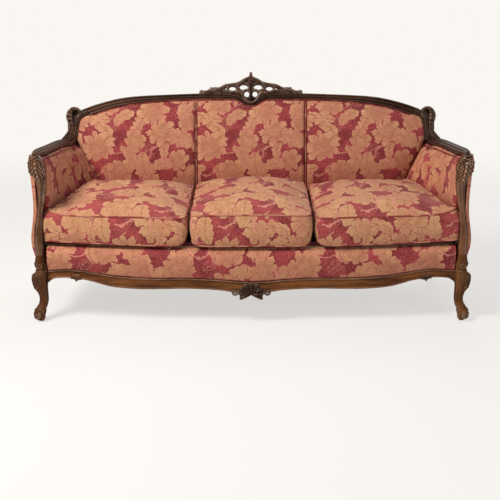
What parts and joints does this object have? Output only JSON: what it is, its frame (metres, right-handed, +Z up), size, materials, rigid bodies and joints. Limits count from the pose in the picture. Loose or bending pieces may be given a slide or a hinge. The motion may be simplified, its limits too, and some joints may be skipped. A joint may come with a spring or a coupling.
{
  "type": "queen anne sofa",
  "caption": "Long sofa with a carved dark wood frame on cabriole legs, a pierced crest, stuffed back and arms, and loose box seat cushions that lift off.",
  "frame": {"origin": "on the floor, under the middle of the sofa's footprint", "axes": "+X along the sofa to its right arm as seen from the front, +Y to its back, +Z up"},
  "size_m": [1.9268, 0.8376, 1.0345],
  "materials": {
    "walnut": "satin, dark, worn along its edges",
    "beech": "sawn, raw",
    "floral_fabric": "woven floral damask, rose ground with tan flowers",
    "welt_fabric": "crimson piping",
    "burlap": "coarse weave",
    "jute_webbing": "herringbone weave",
    "foam": "open-cell filling",
    "dust_cloth": "black non-woven",
    "zipper": "coil zip",
    "spring_steel": "oiled wire"
  },
  "bodies": {
    "root": {"apron_carving": "walnut", "arm_rail_left": "walnut", "arm_rail_right": "walnut", "arm_stile_left": "walnut", "arm_stile_right": "walnut", "arm_tack_rail_left": "beech", "arm_tack_rail_right": "beech", "back_slat_left": "beech", "back_slat_right": "beech", "back_tack_rail": "beech", "back_webbing": "jute_webbing", "back_welt_left": "welt_fabric", "back_welt_right": "welt_fabric", "corner_block_front_left": "beech", "corner_block_front_right": "beech", "corner_block_rear_left": "beech", "corner_block_rear_right": "beech", "crest_carving": "walnut", "crest_rail": "walnut", "deck_pad": "floral_fabric", "dust_cover": "dust_cloth", "ear_scroll_left": "walnut", "ear_scroll_right": "walnut", "front_apron": "walnut", "front_border": "floral_fabric", "front_leg_left": "walnut", "front_leg_right": "walnut", "front_seat_rail": "beech", "inside_arm_left": "floral_fabric", "inside_arm_right": "floral_fabric", "inside_back_centre": "floral_fabric", "inside_back_left": "floral_fabric", "inside_back_right": "floral_fabric", "outside_arm_left": "floral_fabric", "outside_arm_right": "floral_fabric", "outside_back": "floral_fabric", "rear_leg_post_left": "walnut", "rear_leg_post_right": "walnut", "rear_seat_rail": "beech", "seat_burlap": "burlap", "seat_cross_rail_left": "beech", "seat_cross_rail_right": "beech", "seat_spring_1": "spring_steel", "seat_spring_2": "spring_steel", "seat_spring_3": "spring_steel", "seat_spring_4": "spring_steel", "seat_spring_5": "spring_steel", "seat_spring_6": "spring_steel", "side_seat_rail_left": "walnut", "side_seat_rail_right": "walnut"},
    "cushion_left": {"cushion_cover_left": "floral_fabric", "cushion_core_left": "foam", "cushion_zipper_left": "zipper"},
    "cushion_centre": {"cushion_cover_centre": "floral_fabric", "cushion_core_centre": "foam", "cushion_zipper_centre": "zipper"},
    "cushion_right": {"cushion_cover_right": "floral_fabric", "cushion_core_right": "foam", "cushion_zipper_right": "zipper"}
  },
  "joints": [
    {"name": "cushion_lift_left", "type": "slide", "parent": "root", "child": "cushion_left", "axis": [0, -0.5, 0.866], "range_m": [0, 0.35]},
    {"name": "cushion_lift_centre", "type": "slide", "parent": "root", "child": "cushion_centre", "axis": [0, -0.5, 0.866], "range_m": [0, 0.35]},
    {"name": "cushion_lift_right", "type": "slide", "parent": "root", "child": "cushion_right", "axis": [0, -0.5, 0.866], "range_m": [0, 0.35]}
  ]
}
